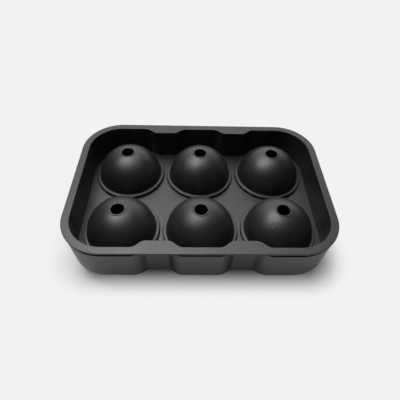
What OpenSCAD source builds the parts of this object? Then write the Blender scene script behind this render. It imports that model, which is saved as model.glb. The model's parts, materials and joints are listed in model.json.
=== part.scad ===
// Two-piece silicone mould for a tray of ice balls.
// The lower half is a shallow tray with a hemispherical cup hanging below each place.
// The upper half nests inside it: a tray with a dome over each cup, filled through a hole in its top.
// The origin is on the table, under the middle of the tray. X runs along the tray and Z is up.

/* [Ice balls] */
// Diameter of one ice ball
ball_d = 45; // [36:0.5:60]
// Number of balls along the tray
columns = 3; // [2:1:5]
// Number of balls across the tray
rows = 2; // [1:1:4]
// Wall of the domes and cups
shell = 2; // [1.2:0.1:3]
// Diameter of the fill hole in the top of each dome
fill_d = 9.2; // [4:0.1:16]

/* [Seal around each ball] */
// Height of the lip that stands around each cup, from the lower deck to the ball's equator
lip_h = 3.2; // [1.5:0.1:4]
// Gap around each lip, inside its groove
lip_gap = 0.3; // [0.2:0.05:0.6]
// Width of the collar outside each dome, over the groove
collar_w = 2.2; // [1.4:0.1:4]
// Height of the collar above the upper floor
collar_h = 2.9; // [1.5:0.1:6]
// Free floor between neighbouring collars
collar_gap = 2.6; // [1:0.1:12]

/* [Upper tray] */
// Depth of the tray, from its rim to its floor
tray_depth = 24.6; // [16:0.1:40]
// Thickness of the floor
floor_t = 2.4; // [1.2:0.1:4]
// Thickness of the wall
upper_wall = 2; // [1.2:0.1:2.6]
// Thickness of the rim
rim_t = 1.4; // [1:0.1:4]
// How far the rim stands out past the lower wall
rim_overhang = 0.8; // [0.2:0.1:6]
// Free floor between the collars and the end walls
end_gap = 3.6; // [1:0.1:20]
// Free floor between the collars and the side walls
side_gap = 2.4; // [1:0.1:20]
// Radius of the tray's corners, on the inside
corner_r = 23.7; // [8:0.1:26]

/* [Side notches] */
// Depth of the notches pressed into the long sides, between the balls
notch_depth = 4.9; // [3.4:0.1:8]
// Width of a notch at half its depth
notch_w = 23.3; // [16:0.1:28]
// Slope of the notch's flanks
notch_angle = 41; // [30:1:50]
// Radius of the curves at both ends of a flank, on the inside
notch_r = 6.1; // [5.2:0.1:7.5]

/* [Lower tray] */
// Thickness of the deck that carries the cups
deck_t = 2.6; // [1.2:0.1:4]
// Thickness of the wall
lower_wall = 2.2; // [1.2:0.1:2.8]
// Gap between the two nested walls
wall_gap = 0.35; // [0.25:0.05:0.8]
// Open gap between the lower wall and the rim above it
rim_gap = 2.4; // [0.5:0.1:10]
// Diameter of the flat foot under each cup
foot_d = 14; // [6:0.5:20]

/* [Hidden] */
$fn = 96;

// Steps along each curve of a notch's flank
flank_steps = 6;
// How far a cutting shape runs past the face it cuts
past = 1;
silicone = [0.13, 0.13, 0.135];
silicone_below = [0.10, 0.10, 0.105];

// Radii around the axis of one ball
ball_r = ball_d / 2;
dome_r = ball_r + shell;
groove_r = dome_r + lip_gap;
collar_r = dome_r + collar_w;
fill_r = fill_d / 2;
foot_r = foot_d / 2;

// Heights above the table
equator = dome_r;
deck_top = equator - lip_h;
deck_bottom = deck_top - deck_t;
floor_bottom = deck_top;
floor_top = floor_bottom + floor_t;
collar_top = floor_top + collar_h;
rim_top = floor_top + tray_depth;
rim_bottom = rim_top - rim_t;
lower_rim = rim_bottom - rim_gap;

// The foot reaches up into the middle of the cup's wall
foot_h = dome_r - sqrt(dome_r * dome_r - foot_r * foot_r) + shell / 2;

// Grid of balls, and the notches midway between its columns
pitch = 2 * collar_r + collar_gap;
ball_places = [
    for (i = [0 : columns - 1], j = [0 : rows - 1])
        [(i - (columns - 1) / 2) * pitch, (j - (rows - 1) / 2) * pitch]
];
notch_places = [for (i = [0 : columns - 2]) (i - (columns - 2) / 2) * pitch];

// Half length and half width of the well inside the upper tray
well_x = (columns - 1) / 2 * pitch + collar_r + end_gap;
well_y = (rows - 1) / 2 * pitch + collar_r + side_gap;

// How far each face lies outside the wall of the well
upper_face = upper_wall;
nest_face = upper_face + wall_gap;
lower_face = nest_face + lower_wall;
rim_face = lower_face + rim_overhang;

// Where the curves of a notch's right flank are centred, measured from the middle of the notch's mouth
flank_half = (notch_depth / 2 - notch_r * (1 - cos(notch_angle))) / tan(notch_angle);
flank_reach = flank_half + notch_r * sin(notch_angle);
mouth_centre = [notch_w / 2 + flank_reach, -notch_r];
root_centre = [notch_w / 2 - flank_reach, notch_r - notch_depth];

// Right flank of a notch from its root up to its mouth, on a face that lies this far outside the well's wall
function notch_flank(out) = concat(
    [for (i = [0 : flank_steps])
        let (a = notch_angle * i / flank_steps)
            root_centre + (notch_r - out) * [sin(a), -cos(a)]],
    [for (i = [flank_steps : -1 : 0])
        let (a = notch_angle * i / flank_steps)
            mouth_centre + (notch_r + out) * [-sin(a), cos(a)]]
);

function reversed(list) = [for (i = [len(list) - 1 : -1 : 0]) list[i]];

module notch_outline(out) {
    right = notch_flank(out);
    left = [for (p = reversed(right)) [-p.x, p.y]];
    mouth = [[mouth_centre.x, out + past], [-mouth_centre.x, out + past]];
    polygon(concat(right, mouth, left));
}

module rounded_rectangle(half_x, half_y, r) {
    square([2 * half_x, 2 * (half_y - r)], center = true);
    square([2 * (half_x - r), 2 * half_y], center = true);
    for (sx = [-1, 1], sy = [-1, 1])
        translate([sx * (half_x - r), sy * (half_y - r)])
            circle(r = r);
}

// Outline of the tray on a face that lies this far outside the well's wall
module tray_outline(out) {
    difference() {
        rounded_rectangle(well_x + out, well_y + out, corner_r + out);
        for (x = notch_places, side = [0, 1])
            mirror([0, side])
                translate([x, well_y])
                    notch_outline(out);
    }
}

module tray_block(out, bottom, top) {
    translate([0, 0, bottom])
        linear_extrude(top - bottom)
            tray_outline(out);
}

module at_each_ball(z) {
    for (p = ball_places)
        translate([p.x, p.y, z])
            children();
}

// One dome with its collar, cut by the ball, the groove for the lip and the fill hole
module dome() {
    rotate_extrude()
        difference() {
            union() {
                intersection() {
                    circle(r = dome_r);
                    square([dome_r, dome_r]);
                }
                translate([0, floor_bottom - equator])
                    square([collar_r, collar_top - floor_bottom]);
            }
            circle(r = ball_r);
            translate([0, -lip_h - past])
                square([groove_r, lip_h + past]);
            square([fill_r, dome_r + past]);
        }
}

// One cup with its lip and its foot
module cup() {
    rotate_extrude()
        difference() {
            union() {
                intersection() {
                    circle(r = dome_r);
                    translate([0, -dome_r])
                        square([dome_r, dome_r]);
                }
                translate([0, deck_bottom - equator])
                    square([dome_r, equator - deck_bottom]);
                translate([0, -dome_r])
                    square([foot_r, foot_h]);
            }
            circle(r = ball_r);
        }
}

module upper_half() {
    color(silicone) {
        difference() {
            union() {
                tray_block(upper_face, floor_bottom, rim_top);
                translate([0, 0, rim_bottom])
                    linear_extrude(rim_t)
                        rounded_rectangle(well_x + rim_face, well_y + rim_face, corner_r + rim_face);
            }
            tray_block(0, floor_top, rim_top + past);
            at_each_ball(floor_bottom - past)
                cylinder(r = (groove_r + collar_r) / 2, h = floor_t + 2 * past);
        }
        at_each_ball(equator)
            dome();
    }
}

module lower_half() {
    color(silicone_below) {
        difference() {
            tray_block(lower_face, deck_bottom, lower_rim);
            tray_block(nest_face, deck_top, lower_rim + past);
            at_each_ball(deck_bottom - past)
                cylinder(r = ball_r + shell / 2, h = deck_t + 2 * past);
        }
        at_each_ball(equator)
            cup();
    }
}

lower_half();
upper_half();
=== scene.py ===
import json
import math

import bmesh
import bpy
from mathutils import Matrix, Vector


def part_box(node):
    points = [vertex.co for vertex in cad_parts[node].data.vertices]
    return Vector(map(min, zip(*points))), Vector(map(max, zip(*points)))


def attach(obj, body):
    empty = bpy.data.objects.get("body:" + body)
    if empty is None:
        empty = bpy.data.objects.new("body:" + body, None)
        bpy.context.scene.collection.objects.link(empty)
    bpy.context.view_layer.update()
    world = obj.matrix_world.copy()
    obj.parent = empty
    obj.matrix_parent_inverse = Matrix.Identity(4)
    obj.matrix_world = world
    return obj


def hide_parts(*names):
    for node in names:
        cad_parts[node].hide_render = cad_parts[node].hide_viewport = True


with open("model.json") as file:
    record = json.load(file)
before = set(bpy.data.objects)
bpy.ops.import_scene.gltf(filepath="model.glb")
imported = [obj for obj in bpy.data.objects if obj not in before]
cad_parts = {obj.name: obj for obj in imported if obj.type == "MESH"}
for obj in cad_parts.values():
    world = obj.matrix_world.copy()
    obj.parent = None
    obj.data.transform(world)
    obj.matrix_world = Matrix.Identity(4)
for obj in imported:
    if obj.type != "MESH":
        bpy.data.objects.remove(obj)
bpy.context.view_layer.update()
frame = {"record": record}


# The lower half: a shallow tray of soft silicone, moulded in one piece, with six cups below its deck.
# A lip around each cup seals against the upper half. The tray stands on the flat feet of its cups,
# and its wall is pressed inwards in four places, where fingers take hold of the upper half.

# Radius of one ice ball, and the wall around it
ball_r = 0.0225
shell = 0.002
dome_r = ball_r + shell

# Places of the balls, from the fill holes over them, and of the notches midway between them
fill_holes = [mount for mount in frame["record"]["mounts"] if mount["kind"] == "bore"]
ball_places = sorted((hole["pos_m"][0], hole["pos_m"][1]) for hole in fill_holes)
column_places = sorted({round(x, 6) for x, y in ball_places})
notch_places = [(a + b) / 2 for a, b in zip(column_places, column_places[1:])]

# Heights of the lower half, from its box
lower_low, lower_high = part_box("lower_half")
upper_low, upper_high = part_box("upper_half")
table = lower_low.z
equator = table + dome_r
lower_rim = lower_high.z
deck_top = upper_low.z
deck_t = 0.0026
deck_bottom = deck_top - deck_t

# The well inside the upper half, from the walls around it
upper_wall = 0.002
wall_gap = 0.00035
lower_wall = 0.0022
well_x = lower_high.x - lower_wall - wall_gap - upper_wall
well_y = lower_high.y - lower_wall - wall_gap - upper_wall
corner_r = 0.0237

# The notches, measured on the wall of the well
notch_depth = 0.0049
notch_w = 0.0233
notch_angle = math.radians(41)
notch_r = 0.0061

# How far each wall leans, to either side of its middle height, so that it leaves its tool
draft = 0.0001
lower_outer_draft = 0.0004

# Steps along a corner, along a curve of a notch, along a small round and around a ball
corner_steps = 22
notch_steps = 6
round_steps = 4
ball_steps = 96

# Places closer than this count as one
tiny = 1e-6


def pick(kind, test):
    """Selects the vertices, edges or faces of the mesh being edited whose middle passes the test."""
    bpy.ops.mesh.select_mode(type=kind)
    bpy.ops.mesh.select_all(action="DESELECT")
    mesh = bpy.context.edit_object.data
    shape = bmesh.from_edit_mesh(mesh)
    for part in {"VERT": shape.verts, "EDGE": shape.edges, "FACE": shape.faces}[kind]:
        corners = [part.co] if kind == "VERT" else [vertex.co for vertex in part.verts]
        middle = sum(corners, Vector()) / len(corners)
        if test(middle):
            part.select_set(True)
    shape.select_flush_mode()
    bmesh.update_edit_mesh(mesh)


def pick_level(kind, height):
    """Selects what lies level at this height."""
    pick(kind, lambda middle: abs(middle.z - height) < tiny)


# Edges that turn by more than the first angle are rounded, and by less than the second shaded smooth
sharp_edge = math.radians(60)
smooth_edge = math.radians(40)


def round_sharp_edges(height, radius):
    """Rounds the sharp edges that lie level at this height."""
    bpy.ops.mesh.select_mode(type="EDGE")
    bpy.ops.mesh.select_all(action="DESELECT")
    bpy.ops.mesh.edges_select_sharp(sharpness=sharp_edge)
    mesh = bpy.context.edit_object.data
    shape = bmesh.from_edit_mesh(mesh)
    for edge in shape.edges:
        if any(abs(vertex.co.z - height) > tiny for vertex in edge.verts):
            edge.select_set(False)
    shape.select_flush_mode()
    bmesh.update_edit_mesh(mesh)
    bpy.ops.mesh.bevel(offset=radius, segments=round_steps, affect="EDGES", profile=0.5)


def tray_skin(name, out, lean, bottom, top, floor_round):
    """One face of a tray's wall and floor, this far outside the well's wall, leaning out as it rises."""
    half_x = well_x + out - lean
    half_y = well_y + out - lean
    bpy.ops.object.select_all(action="DESELECT")
    # A plane that reaches 1 to each side is stretched to the size of the floor
    bpy.ops.mesh.primitive_plane_add(size=2)
    skin = bpy.context.active_object
    skin.name = name
    bpy.ops.object.mode_set(mode="EDIT")
    bpy.ops.transform.resize(value=(half_x, half_y, 1))
    bpy.ops.transform.translate(value=(0, 0, bottom))
    # Each notch is marked where its flanks begin and end, and then pushed in
    slide = out * math.tan(notch_angle / 2)
    ramp = notch_depth / math.tan(notch_angle)
    mouth = notch_w / 2 + ramp / 2 - slide
    root = notch_w / 2 - ramp / 2 - slide
    for x in notch_places:
        for reach in (-mouth, -root, root, mouth):
            bpy.ops.mesh.select_all(action="SELECT")
            bpy.ops.mesh.bisect(plane_co=(x + reach, 0, 0), plane_no=(1, 0, 0))
    bpy.ops.mesh.select_all(action="SELECT")
    bpy.ops.mesh.dissolve_faces()

    def beside_notch(p, reach):
        return any(abs(abs(p.x - x) - reach) < tiny for x in notch_places)

    for side in (-1, 1):
        pick("VERT", lambda p: p.y * side > 0 and beside_notch(p, root))
        bpy.ops.transform.translate(value=(0, -side * notch_depth, 0))
    # The corners of the tray, the mouths of the notches and their roots are rounded
    pick("VERT", lambda p: abs(p.x) > half_x - tiny)
    bpy.ops.mesh.bevel(offset=corner_r + out, segments=corner_steps, affect="VERTICES")
    tangent = math.tan(notch_angle / 2)
    pick("VERT", lambda p: beside_notch(p, mouth) and abs(p.y) > half_y - tiny)
    bpy.ops.mesh.bevel(offset=(notch_r + out) * tangent, segments=notch_steps, affect="VERTICES")
    pick("VERT", lambda p: beside_notch(p, root) and abs(p.y) < half_y - notch_depth + tiny)
    bpy.ops.mesh.bevel(offset=(notch_r - out) * tangent, segments=notch_steps, affect="VERTICES")
    # The wall rises from the outline, and its foot is rounded into the floor
    pick_level("EDGE", bottom)
    bpy.ops.mesh.extrude_edges_move(TRANSFORM_OT_translate={"value": (0, 0, top - bottom)})
    flare = ((half_x + 2 * lean) / half_x, (half_y + 2 * lean) / half_y, 1)
    bpy.ops.transform.resize(value=flare, center_override=(0, 0, 0))
    pick_level("EDGE", bottom)
    bpy.ops.mesh.bevel(offset=floor_round, segments=round_steps + 1, affect="EDGES", profile=0.5)
    bpy.ops.object.mode_set(mode="OBJECT")
    return skin


def start_profile(name, r, z):
    """Starts the section of a round form with one point, at a radius and a height."""
    bpy.ops.object.select_all(action="DESELECT")
    bpy.ops.mesh.primitive_plane_add(size=shell)
    bpy.context.active_object.name = name
    bpy.ops.object.mode_set(mode="EDIT")
    bpy.ops.mesh.select_mode(type="VERT")
    bpy.ops.mesh.select_all(action="SELECT")
    bpy.ops.mesh.merge(type="CENTER")
    bpy.ops.mesh.select_all(action="SELECT")
    bpy.ops.transform.translate(value=(r, 0, z))


def draw_line(r, z):
    """Carries the section straight on to a radius and a height."""
    shape = bmesh.from_edit_mesh(bpy.context.edit_object.data)
    here = next(vertex.co for vertex in shape.verts if vertex.select)
    step = (r - here.x, 0, z - here.z)
    bpy.ops.mesh.extrude_vertices_move(TRANSFORM_OT_translate={"value": step})


def draw_arc(r, z, degrees, steps=round_steps):
    """Carries the section on around a centre, anticlockwise as the radius runs to the right."""
    turn = math.radians(degrees)
    bpy.ops.mesh.spin(steps=steps, angle=turn, center=(r, 0, z), axis=(0, 1, 0))


def turn_profile():
    """Turns the finished section around the axis of the ball."""
    bpy.ops.mesh.select_all(action="SELECT")
    bpy.ops.mesh.spin(steps=ball_steps, angle=math.tau, center=(0, 0, 0), axis=(0, 0, 1))
    bpy.ops.mesh.select_all(action="SELECT")
    bpy.ops.mesh.remove_doubles(threshold=tiny)
    bpy.ops.object.mode_set(mode="OBJECT")
    return bpy.context.active_object


def copies_at_balls(form):
    """Puts a copy of the form at each ball, and removes the form itself."""
    forms = []
    for x, y in ball_places:
        bpy.ops.object.select_all(action="DESELECT")
        form.select_set(True)
        bpy.context.view_layer.objects.active = form
        bpy.ops.object.duplicate()
        copy = bpy.context.active_object
        bpy.ops.transform.translate(value=(x, y, 0))
        bpy.ops.object.transform_apply(location=True, rotation=False, scale=False)
        forms.append(copy)
    bpy.data.objects.remove(form)
    return forms


def join_into(piece, others):
    """Joins the other meshes into this one and opens it for editing."""
    bpy.ops.object.select_all(action="DESELECT")
    for other in others:
        other.select_set(True)
    piece.select_set(True)
    bpy.context.view_layer.objects.active = piece
    bpy.ops.object.join()
    bpy.ops.object.mode_set(mode="EDIT")


def fill_level(height):
    """Replaces the plain floor at this height by one that runs between the wall and the balls."""
    pick_level("FACE", height)
    bpy.ops.mesh.delete(type="ONLY_FACE")
    pick_level("EDGE", height)
    bpy.ops.mesh.fill(use_beauty=True)


def close_ring(height):
    """Closes the level ring between the two edges that are open at this height."""
    pick_level("EDGE", height)
    bpy.ops.mesh.fill(use_beauty=True)
    pick_level("FACE", height)
    bpy.ops.mesh.tris_convert_to_quads()


def face_outwards():
    """Merges what the joined meshes share and turns every face outwards."""
    bpy.ops.mesh.select_mode(type="VERT")
    bpy.ops.mesh.select_all(action="SELECT")
    bpy.ops.mesh.remove_doubles(threshold=tiny)
    bpy.ops.mesh.select_all(action="SELECT")
    bpy.ops.mesh.normals_make_consistent(inside=False)


def shade_moulding(piece):
    """Shades the rounds of the finished moulding smoothly and keeps its flat faces flat."""
    bpy.ops.object.mode_set(mode="OBJECT")
    bpy.ops.object.shade_smooth_by_angle(angle=smooth_edge)
    weighted = piece.modifiers.new("flat faces stay flat", "WEIGHTED_NORMAL")
    weighted.keep_sharp = True
    bpy.ops.object.modifier_apply(modifier=weighted.name)


# The wall of the lower half: how far its inner and outer faces lie outside the well, and its top edge
nest_face = upper_wall + wall_gap
lower_face = nest_face + lower_wall - lower_outer_draft / 2
lower_rim_round = 0.0002
lower_moulding = tray_skin(
    "lower_moulding", nest_face, draft, deck_top, lower_rim, floor_round=0.0012
)
lower_outside = tray_skin(
    "lower_outside", lower_face, lower_outer_draft, deck_bottom, lower_rim, floor_round=0.0006
)

# One cup: its lip, the half ball inside it, its flat foot and its round outside
lip_round = 0.0005
foot_r = 0.007
foot_round = 0.0006
cup_root_round = 0.0015
start_profile("cup", dome_r + lip_round, deck_top)
draw_arc(dome_r + lip_round, deck_top + lip_round, -90)
draw_line(dome_r, equator - lip_round)
draw_arc(dome_r - lip_round, equator - lip_round, 90)
draw_line(ball_r, equator)
draw_arc(0, equator, -90, ball_steps // 4)
cup = turn_profile()
root_z = deck_bottom - cup_root_round - equator
root_r = math.sqrt((dome_r + cup_root_round) ** 2 - root_z ** 2)
root_turn = math.degrees(math.atan2(-root_z, root_r))
foot_turn = math.degrees(math.asin(foot_r / dome_r))
start_profile("cup_outside", root_r, deck_bottom)
draw_arc(root_r, equator + root_z, 90 - root_turn)
draw_arc(0, equator, -(90 - root_turn - foot_turn), ball_steps // 4)
draw_line(foot_r, table + foot_round)
draw_arc(foot_r - foot_round, table + foot_round, -90)
draw_line(0, table)
cup_outside = turn_profile()
join_into(cup, [cup_outside])
bpy.ops.object.mode_set(mode="OBJECT")

join_into(lower_moulding, [lower_outside, *copies_at_balls(cup)])
close_ring(lower_rim)
fill_level(deck_top)
fill_level(deck_bottom)
face_outwards()
round_sharp_edges(lower_rim, lower_rim_round)
shade_moulding(lower_moulding)


def add_node(tree, kind, sockets=None, **settings):
    """Adds a node with its settings, and puts a value or a link on each socket that is named."""
    node = tree.nodes.new(kind)
    for name, value in settings.items():
        setattr(node, name, value)
    for socket, value in (sockets or {}).items():
        if isinstance(value, bpy.types.NodeSocket):
            tree.links.new(value, node.inputs[socket])
        else:
            node.inputs[socket].default_value = value
    return node


def work_out(tree, operation, first, second):
    """Adds a node that works out one value from two, such as their sum or their product."""
    return add_node(tree, "ShaderNodeMath", {0: first, 1: second}, operation=operation).outputs[0]


# The skin that both mouldings have: a matte grain from the tool, a cloudy bloom where hands have
# rubbed the silicone, and specks of dust on the faces that look up. Scales are repeats per metre.
cloud_scale = 42
pebble_scale = 950
grain_scale = 3200
speck_scale = 210
# Share of the places for a speck that stay clean
clean_share = 0.9
# Radius of a speck, from its middle to its edge, as a share of the room that it has
speck_core = 0.05
speck_end = 0.09
# How much the clouds and the pebbles change the skin's roughness, and how much rougher dust makes it
cloud_polish = 0.16
pebble_polish = 0.12
dust_dulling = 0.3
# Height of the grain beside that of the pebbles
grain_height = 0.5
skin = bpy.data.node_groups.new("silicone_skin", "ShaderNodeTree")
for name, kind in (
    ("Silicone", "NodeSocketColor"),
    ("Bloom", "NodeSocketColor"),
    ("Bloom Amount", "NodeSocketFloat"),
    ("Dust", "NodeSocketColor"),
    ("Dust Amount", "NodeSocketFloat"),
    ("Roughness", "NodeSocketFloat"),
):
    skin.interface.new_socket(name, in_out="INPUT", socket_type=kind)
for name, kind in (
    ("Color", "NodeSocketColor"),
    ("Roughness", "NodeSocketFloat"),
    ("Height", "NodeSocketFloat"),
):
    skin.interface.new_socket(name, in_out="OUTPUT", socket_type=kind)
given = add_node(skin, "NodeGroupInput").outputs
place = add_node(skin, "ShaderNodeTexCoord").outputs["Object"]
facing = add_node(skin, "ShaderNodeNewGeometry").outputs["Normal"]
facing_z = add_node(skin, "ShaderNodeSeparateXYZ", {"Vector": facing}).outputs["Z"]
looks_up = add_node(
    skin, "ShaderNodeMapRange", {"Value": facing_z, "From Min": 0.1, "From Max": 0.9}
).outputs["Result"]
clouds = add_node(
    skin, "ShaderNodeTexNoise", {"Vector": place, "Scale": cloud_scale, "Detail": 4, "Roughness": 0.6}
).outputs["Fac"]
pebbles = add_node(
    skin, "ShaderNodeTexNoise", {"Vector": place, "Scale": pebble_scale, "Detail": 2}
).outputs["Fac"]
grain = add_node(
    skin, "ShaderNodeTexNoise", {"Vector": place, "Scale": grain_scale, "Detail": 1}
).outputs["Fac"]
specks = add_node(skin, "ShaderNodeTexVoronoi", {"Vector": place, "Scale": speck_scale}).outputs
lot = add_node(skin, "ShaderNodeSeparateColor", {"Color": specks["Color"]}).outputs["Red"]
on_speck = add_node(
    skin,
    "ShaderNodeMapRange",
    {
        "Value": specks["Distance"],
        "From Min": speck_core,
        "From Max": speck_end,
        "To Min": 1,
        "To Max": 0,
    },
).outputs["Result"]
few_specks = work_out(skin, "MULTIPLY", on_speck, work_out(skin, "GREATER_THAN", lot, clean_share))
settled = work_out(skin, "MULTIPLY", few_specks, looks_up)
dust = work_out(skin, "MULTIPLY", settled, given["Dust Amount"])
patches = add_node(
    skin, "ShaderNodeMapRange", {"Value": clouds, "From Min": 0.35, "From Max": 0.7}
).outputs["Result"]
bloom = work_out(skin, "MULTIPLY", patches, given["Bloom Amount"])
bloomed = add_node(
    skin, "ShaderNodeMixRGB", {"Fac": bloom, "Color1": given["Silicone"], "Color2": given["Bloom"]}
).outputs["Color"]
dusted = add_node(
    skin, "ShaderNodeMixRGB", {"Fac": dust, "Color1": bloomed, "Color2": given["Dust"]}
).outputs["Color"]
cloud_swing = work_out(skin, "MULTIPLY", work_out(skin, "SUBTRACT", clouds, 0.5), cloud_polish)
pebble_swing = work_out(skin, "MULTIPLY", work_out(skin, "SUBTRACT", pebbles, 0.5), pebble_polish)
swing = work_out(skin, "ADD", cloud_swing, pebble_swing)
rubbed = work_out(skin, "ADD", given["Roughness"], swing)
dulled = work_out(skin, "ADD", rubbed, work_out(skin, "MULTIPLY", dust, dust_dulling))
relief = work_out(skin, "ADD", pebbles, work_out(skin, "MULTIPLY", grain, grain_height))
raised = work_out(skin, "ADD", relief, dust)
add_node(skin, "NodeGroupOutput", {"Color": dusted, "Roughness": dulled, "Height": raised})

dust_grey = (0.3, 0.29, 0.28)
relief_strength = 0.5
relief_depth = 0.0001


def silicone_finish(name, silicone, bloom, bloom_amount, dust_amount, roughness, specular):
    """A material of moulded silicone, with its own shade, bloom, dust and polish."""
    material = bpy.data.materials.new(name)
    material.use_nodes = True
    tree = material.node_tree
    shader = tree.nodes["Principled BSDF"]
    skin_here = add_node(tree, "ShaderNodeGroup", node_tree=skin)
    skin_here.inputs["Silicone"].default_value = (*silicone, 1)
    skin_here.inputs["Bloom"].default_value = (*bloom, 1)
    skin_here.inputs["Bloom Amount"].default_value = bloom_amount
    skin_here.inputs["Dust"].default_value = (*dust_grey, 1)
    skin_here.inputs["Dust Amount"].default_value = dust_amount
    skin_here.inputs["Roughness"].default_value = roughness
    relief_bump = add_node(
        tree,
        "ShaderNodeBump",
        {
            "Height": skin_here.outputs["Height"],
            "Strength": relief_strength,
            "Distance": relief_depth,
        },
    )
    tree.links.new(skin_here.outputs["Color"], shader.inputs["Base Color"])
    tree.links.new(skin_here.outputs["Roughness"], shader.inputs["Roughness"])
    tree.links.new(relief_bump.outputs["Normal"], shader.inputs["Normal"])
    shader.inputs["Specular IOR Level"].default_value = specular
    return material


def put_on(piece, material):
    """Gives the whole piece one material."""
    piece.data.materials.clear()
    piece.data.materials.append(material)


lower_silicone = silicone_finish(
    "lower_silicone",
    silicone=(0.0088, 0.0088, 0.0092),
    bloom=(0.016, 0.016, 0.0164),
    bloom_amount=0.5,
    dust_amount=0.4,
    roughness=0.42,
    specular=0.9,
)
put_on(lower_moulding, lower_silicone)
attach(lower_moulding, "lower")
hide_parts("lower_half")


# The upper half: a deeper tray of the same silicone, moulded in one piece, that nests in the lower one.
# Water goes in through the hole in the top of each of its six domes. A raised collar around each dome
# holds the groove for the lip below, and fingers lift the tray by its flat rim, at the notches.
floor_t = 0.0024
floor_bottom = upper_low.z
floor_top = floor_bottom + floor_t
tray_depth = 0.0246
rim_top = floor_top + tray_depth
rim_t = 0.0014
rim_bottom = rim_top - rim_t
rim_half_x = upper_high.x
rim_half_y = upper_high.y
rim_round = 0.0004

upper_moulding = tray_skin("upper_moulding", 0, draft, floor_top, rim_top, floor_round=0.0002)
upper_outside = tray_skin(
    "upper_outside", upper_wall, draft, floor_bottom, rim_bottom, floor_round=0.002
)

# The rim's outer edge is drawn up from the wall, shaped above its place, brought level and turned down
bpy.ops.object.select_all(action="DESELECT")
upper_moulding.select_set(True)
bpy.context.view_layer.objects.active = upper_moulding
bpy.ops.object.mode_set(mode="EDIT")
pick_level("EDGE", rim_top)
bpy.ops.mesh.extrude_edges_move(TRANSFORM_OT_translate={"value": (0, 0, rim_t)})
above = rim_top + rim_t
flare_x = (well_x + draft) / (well_x - draft)
flare_y = (well_y + draft) / (well_y - draft)
corner_x = (well_x - draft - corner_r) * flare_x
corner_y = (well_y - draft - corner_r) * flare_y
widen = (
    (rim_half_x - corner_x) / (corner_r * flare_x),
    (rim_half_y - corner_y) / (corner_r * flare_y),
    1,
)
for side_x in (-1, 1):
    for side_y in (-1, 1):
        pick("VERT", lambda p: (
            p.z > above - tiny
            and p.x * side_x > corner_x - tiny
            and p.y * side_y > corner_y - tiny
        ))
        corner = (side_x * corner_x, side_y * corner_y, 0)
        bpy.ops.transform.resize(value=widen, center_override=corner)
for side_y in (-1, 1):
    pick("VERT", lambda p: p.z > above - tiny and abs(p.x) < corner_x + tiny and p.y * side_y > 0)
    bpy.ops.transform.resize(value=(1, 0, 1), center_override=(0, side_y * rim_half_y, 0))
pick_level("VERT", above)
bpy.ops.transform.translate(value=(0, 0, -rim_t))
bpy.ops.mesh.extrude_edges_move(TRANSFORM_OT_translate={"value": (0, 0, -rim_t)})
round_sharp_edges(rim_top, rim_round)
bpy.ops.object.mode_set(mode="OBJECT")

# One dome: its collar, the dome, the raised ring around the fill hole, the half ball inside and the groove
collar_w = 0.0022
collar_h = 0.0029
collar_r = dome_r + collar_w
collar_top = floor_top + collar_h
collar_round = 0.0005
collar_foot_round = 0.0006
dome_foot_round = 0.0006
lip_gap = 0.0003
groove_r = dome_r + lip_gap
fill_r = fill_holes[0]["dims"]["r_mm"] / 1000
ring_w = 0.0009
ring_r = fill_r + ring_w
ring_h = 0.00045
ring_top = equator + math.sqrt(dome_r ** 2 - ring_r ** 2) + ring_h
ring_round = 0.0002
ring_foot_round = 0.00015
start_profile("dome", collar_r + collar_foot_round, floor_top)
draw_arc(collar_r + collar_foot_round, floor_top + collar_foot_round, -90)
draw_line(collar_r, collar_top - collar_round)
draw_arc(collar_r - collar_round, collar_top - collar_round, 90)
foot_z = collar_top + dome_foot_round - equator
foot_x = math.sqrt((dome_r + dome_foot_round) ** 2 - foot_z ** 2)
foot_angle = math.degrees(math.atan2(foot_z, foot_x))
ring_foot_x = ring_r + ring_foot_round
ring_foot_z = math.sqrt((dome_r + ring_foot_round) ** 2 - ring_foot_x ** 2)
ring_angle = math.degrees(math.atan2(ring_foot_z, ring_foot_x))
draw_line(foot_x, collar_top)
draw_arc(foot_x, collar_top + dome_foot_round, -(90 - foot_angle))
draw_arc(0, equator, ring_angle - foot_angle, ball_steps // 3)
draw_arc(ring_foot_x, equator + ring_foot_z, -ring_angle)
draw_line(ring_r, ring_top - ring_round)
draw_arc(ring_r - ring_round, ring_top - ring_round, 90)
draw_line(fill_r + ring_round, ring_top)
draw_arc(fill_r + ring_round, ring_top - ring_round, 90)
inner_angle = math.acos(fill_r / ball_r)
draw_line(fill_r, equator + ball_r * math.sin(inner_angle))
draw_arc(0, equator, -math.degrees(inner_angle), ball_steps // 4)
draw_line(groove_r, equator)
draw_line(groove_r, floor_bottom)
dome = turn_profile()

join_into(upper_moulding, [upper_outside, *copies_at_balls(dome)])
close_ring(rim_bottom)
fill_level(floor_top)
fill_level(floor_bottom)
face_outwards()
round_sharp_edges(rim_bottom, rim_round)
shade_moulding(upper_moulding)
upper_silicone = silicone_finish(
    "upper_silicone",
    silicone=(0.009, 0.009, 0.0094),
    bloom=(0.0165, 0.0165, 0.017),
    bloom_amount=0.5,
    dust_amount=0.7,
    roughness=0.44,
    specular=0.6,
)
put_on(upper_moulding, upper_silicone)
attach(upper_moulding, "upper")
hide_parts("upper_half")


# The floor: a plain sweep of pale paper under the tray. What the camera sees of it is evenly white, and
# runs over into a painted shadow close around the tray: its outline is painted, and inside it the paper
# shows its real shading.
bpy.ops.object.select_all(action="DESELECT")
floor_size = 6
bpy.ops.mesh.primitive_plane_add(size=floor_size, location=(0, 0, table))
floor = bpy.context.active_object
floor.name = "floor"
# The paper's own grey is darker than its white and shows only inside the painted shadow, where it deepens
# the shade
paper_grey = 0.68
backdrop_white = 0.888
paper = bpy.data.materials.new("pale_paper")
paper.use_nodes = True
paper_tree = paper.node_tree
paper_shader = paper_tree.nodes["Principled BSDF"]
paper_shader.inputs["Base Color"].default_value = (paper_grey, paper_grey, paper_grey, 1)
paper_shader.inputs["Roughness"].default_value = 1
paper_shader.inputs["Specular IOR Level"].default_value = 0
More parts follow.
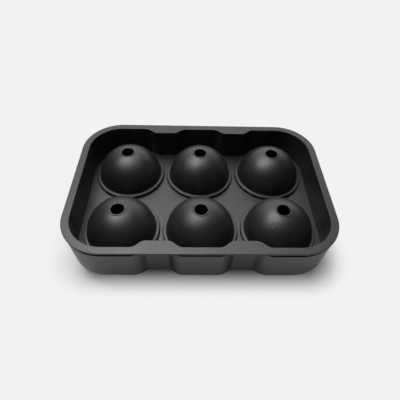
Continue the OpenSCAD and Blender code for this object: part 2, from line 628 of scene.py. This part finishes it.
# The core of the painted shadow is a rectangle on the paper, given by its middle and its half sizes, set
# where the shadow should show rather than cast by the tray. The paper turns white between two distances
# from it, which differ for what is seen and what the silicone mirrors.
shadow_middle = (-0.0011, 0.005, 0)
shadow_core = (0.0805, 0.037, 0)
shadow_seen = (0.012, 0.0385)
# The mirrored shadow reaches further than the seen one: painted shade that the outer walls mirror,
# darkening them towards their bottoms
shadow_mirrored = (0.046, 0.066)
floor_place = add_node(paper_tree, "ShaderNodeTexCoord").outputs["Object"]
centred = add_node(
    paper_tree, "ShaderNodeVectorMath", {0: floor_place, 1: shadow_middle}, operation="SUBTRACT"
).outputs[0]
folded = add_node(paper_tree, "ShaderNodeVectorMath", {0: centred}, operation="ABSOLUTE").outputs[0]
past_core = add_node(
    paper_tree, "ShaderNodeVectorMath", {0: folded, 1: shadow_core}, operation="SUBTRACT"
).outputs[0]
outside_core = add_node(
    paper_tree, "ShaderNodeVectorMath", {0: past_core, 1: (0, 0, 0)}, operation="MAXIMUM"
).outputs[0]
reach = add_node(
    paper_tree, "ShaderNodeVectorMath", {0: outside_core}, operation="LENGTH"
).outputs["Value"]
rays = add_node(paper_tree, "ShaderNodeLightPath").outputs


def white_for(ray, shadow):
    """How white the paper is for one kind of ray, from the middle of the painted shadow out to its end."""
    clear = add_node(
        paper_tree,
        "ShaderNodeMapRange",
        {"Value": reach, "From Min": shadow[0], "From Max": shadow[1]},
        interpolation_type="SMOOTHSTEP",
    ).outputs["Result"]
    return work_out(paper_tree, "MULTIPLY", rays[ray], clear)


# Beyond the painted shadow the camera sees the paper evenly white
white_seen = work_out(
    paper_tree,
    "MAXIMUM",
    white_for("Is Camera Ray", shadow_seen),
    white_for("Is Transmission Ray", shadow_seen),
)
# Glossy rays see the wider painted shadow, which paints shade low on the silicone walls
white = work_out(paper_tree, "MAXIMUM", white_seen, white_for("Is Glossy Ray", shadow_mirrored))
paper_white = add_node(
    paper_tree,
    "ShaderNodeEmission",
    {"Color": (backdrop_white, backdrop_white, backdrop_white, 1), "Strength": 1},
)
paper_mix = add_node(
    paper_tree,
    "ShaderNodeMixShader",
    {
        0: white,
        1: paper_shader.outputs["BSDF"],
        2: paper_white.outputs["Emission"],
    },
)
paper_surface = paper_tree.nodes["Material Output"].inputs["Surface"]
paper_tree.links.new(paper_mix.outputs["Shader"], paper_surface)
put_on(floor, paper)


# The studio light: a wide soft box overhead and a little behind the tray, and a smaller, stronger one
# to its left, which gives the domes their highlights.
def hang_softbox(name, place, width, length, power):
    """Hangs a soft box at this place, turned towards the tray."""
    bpy.ops.object.light_add(type="AREA", location=place)
    softbox = bpy.context.active_object
    softbox.name = name
    softbox.rotation_euler = (-Vector(place)).to_track_quat("-Z", "Y").to_euler()
    softbox.data.shape = "RECTANGLE"
    softbox.data.size = width
    softbox.data.size_y = length
    softbox.data.energy = power


hang_softbox("wide_softbox", place=(-0.02, 0.26, 0.8), width=0.75, length=0.7, power=3.3)
hang_softbox("key_softbox", place=(-0.23, 0.13, 0.81), width=0.5, length=0.45, power=5.4)


# The room: plain air that is bright low behind the tray, where its light runs along the paper, and nearly
# dark elsewhere. The camera sees it as white as the paper.
room = bpy.data.worlds.new("room")
bpy.context.scene.world = room
room.use_nodes = True
room_tree = room.node_tree
bright_side = Vector((0.1, 0.98, 0.15)).normalized()
glow_edge = 0.55
dark_level = 0.02
glow_level = 1.6
look = add_node(room_tree, "ShaderNodeTexCoord").outputs["Generated"]
towards_bright = add_node(
    room_tree, "ShaderNodeVectorMath", {0: look, 1: bright_side}, operation="DOT_PRODUCT"
).outputs["Value"]
room_glow = add_node(
    room_tree,
    "ShaderNodeMapRange",
    {
        "Value": towards_bright,
        "From Min": glow_edge,
        "From Max": 1,
        "To Min": dark_level,
        "To Max": glow_level,
    },
    interpolation_type="SMOOTHSTEP",
).outputs["Result"]
room_rays = add_node(room_tree, "ShaderNodeLightPath").outputs
room_strength = add_node(
    room_tree,
    "ShaderNodeMix",
    {"Factor": room_rays["Is Camera Ray"], "A": room_glow, "B": backdrop_white},
).outputs["Result"]
room_light = room_tree.nodes["Background"]
room_light.inputs["Color"].default_value = (1, 1, 1, 1)
room_tree.links.new(room_strength, room_light.inputs["Strength"])


# The camera: where the photograph was taken from, close in front of the tray and looking down at it.
# Its place is in metres from the middle of the tray on the table, and its lens and sensor in millimetres.
camera_place = (-0.007308, -0.169464, 0.22762)
lens = 30.558
sensor_w = 36
yaw = math.radians(2.5426)
pitch = math.radians(50.0285)
roll = math.radians(2.4653)
bpy.ops.object.camera_add()
camera = bpy.context.active_object
camera.matrix_world = (
    Matrix.Translation(camera_place)
    @ Matrix.Rotation(-yaw, 4, "Z")
    @ Matrix.Rotation(math.pi / 2 - pitch, 4, "X")
    @ Matrix.Rotation(roll, 4, "Z")
)
camera.data.sensor_width = sensor_w
camera.data.lens = lens
camera.data.clip_start = 0.01
bpy.context.scene.camera = camera
bpy.context.scene.view_settings.view_transform = "Standard"
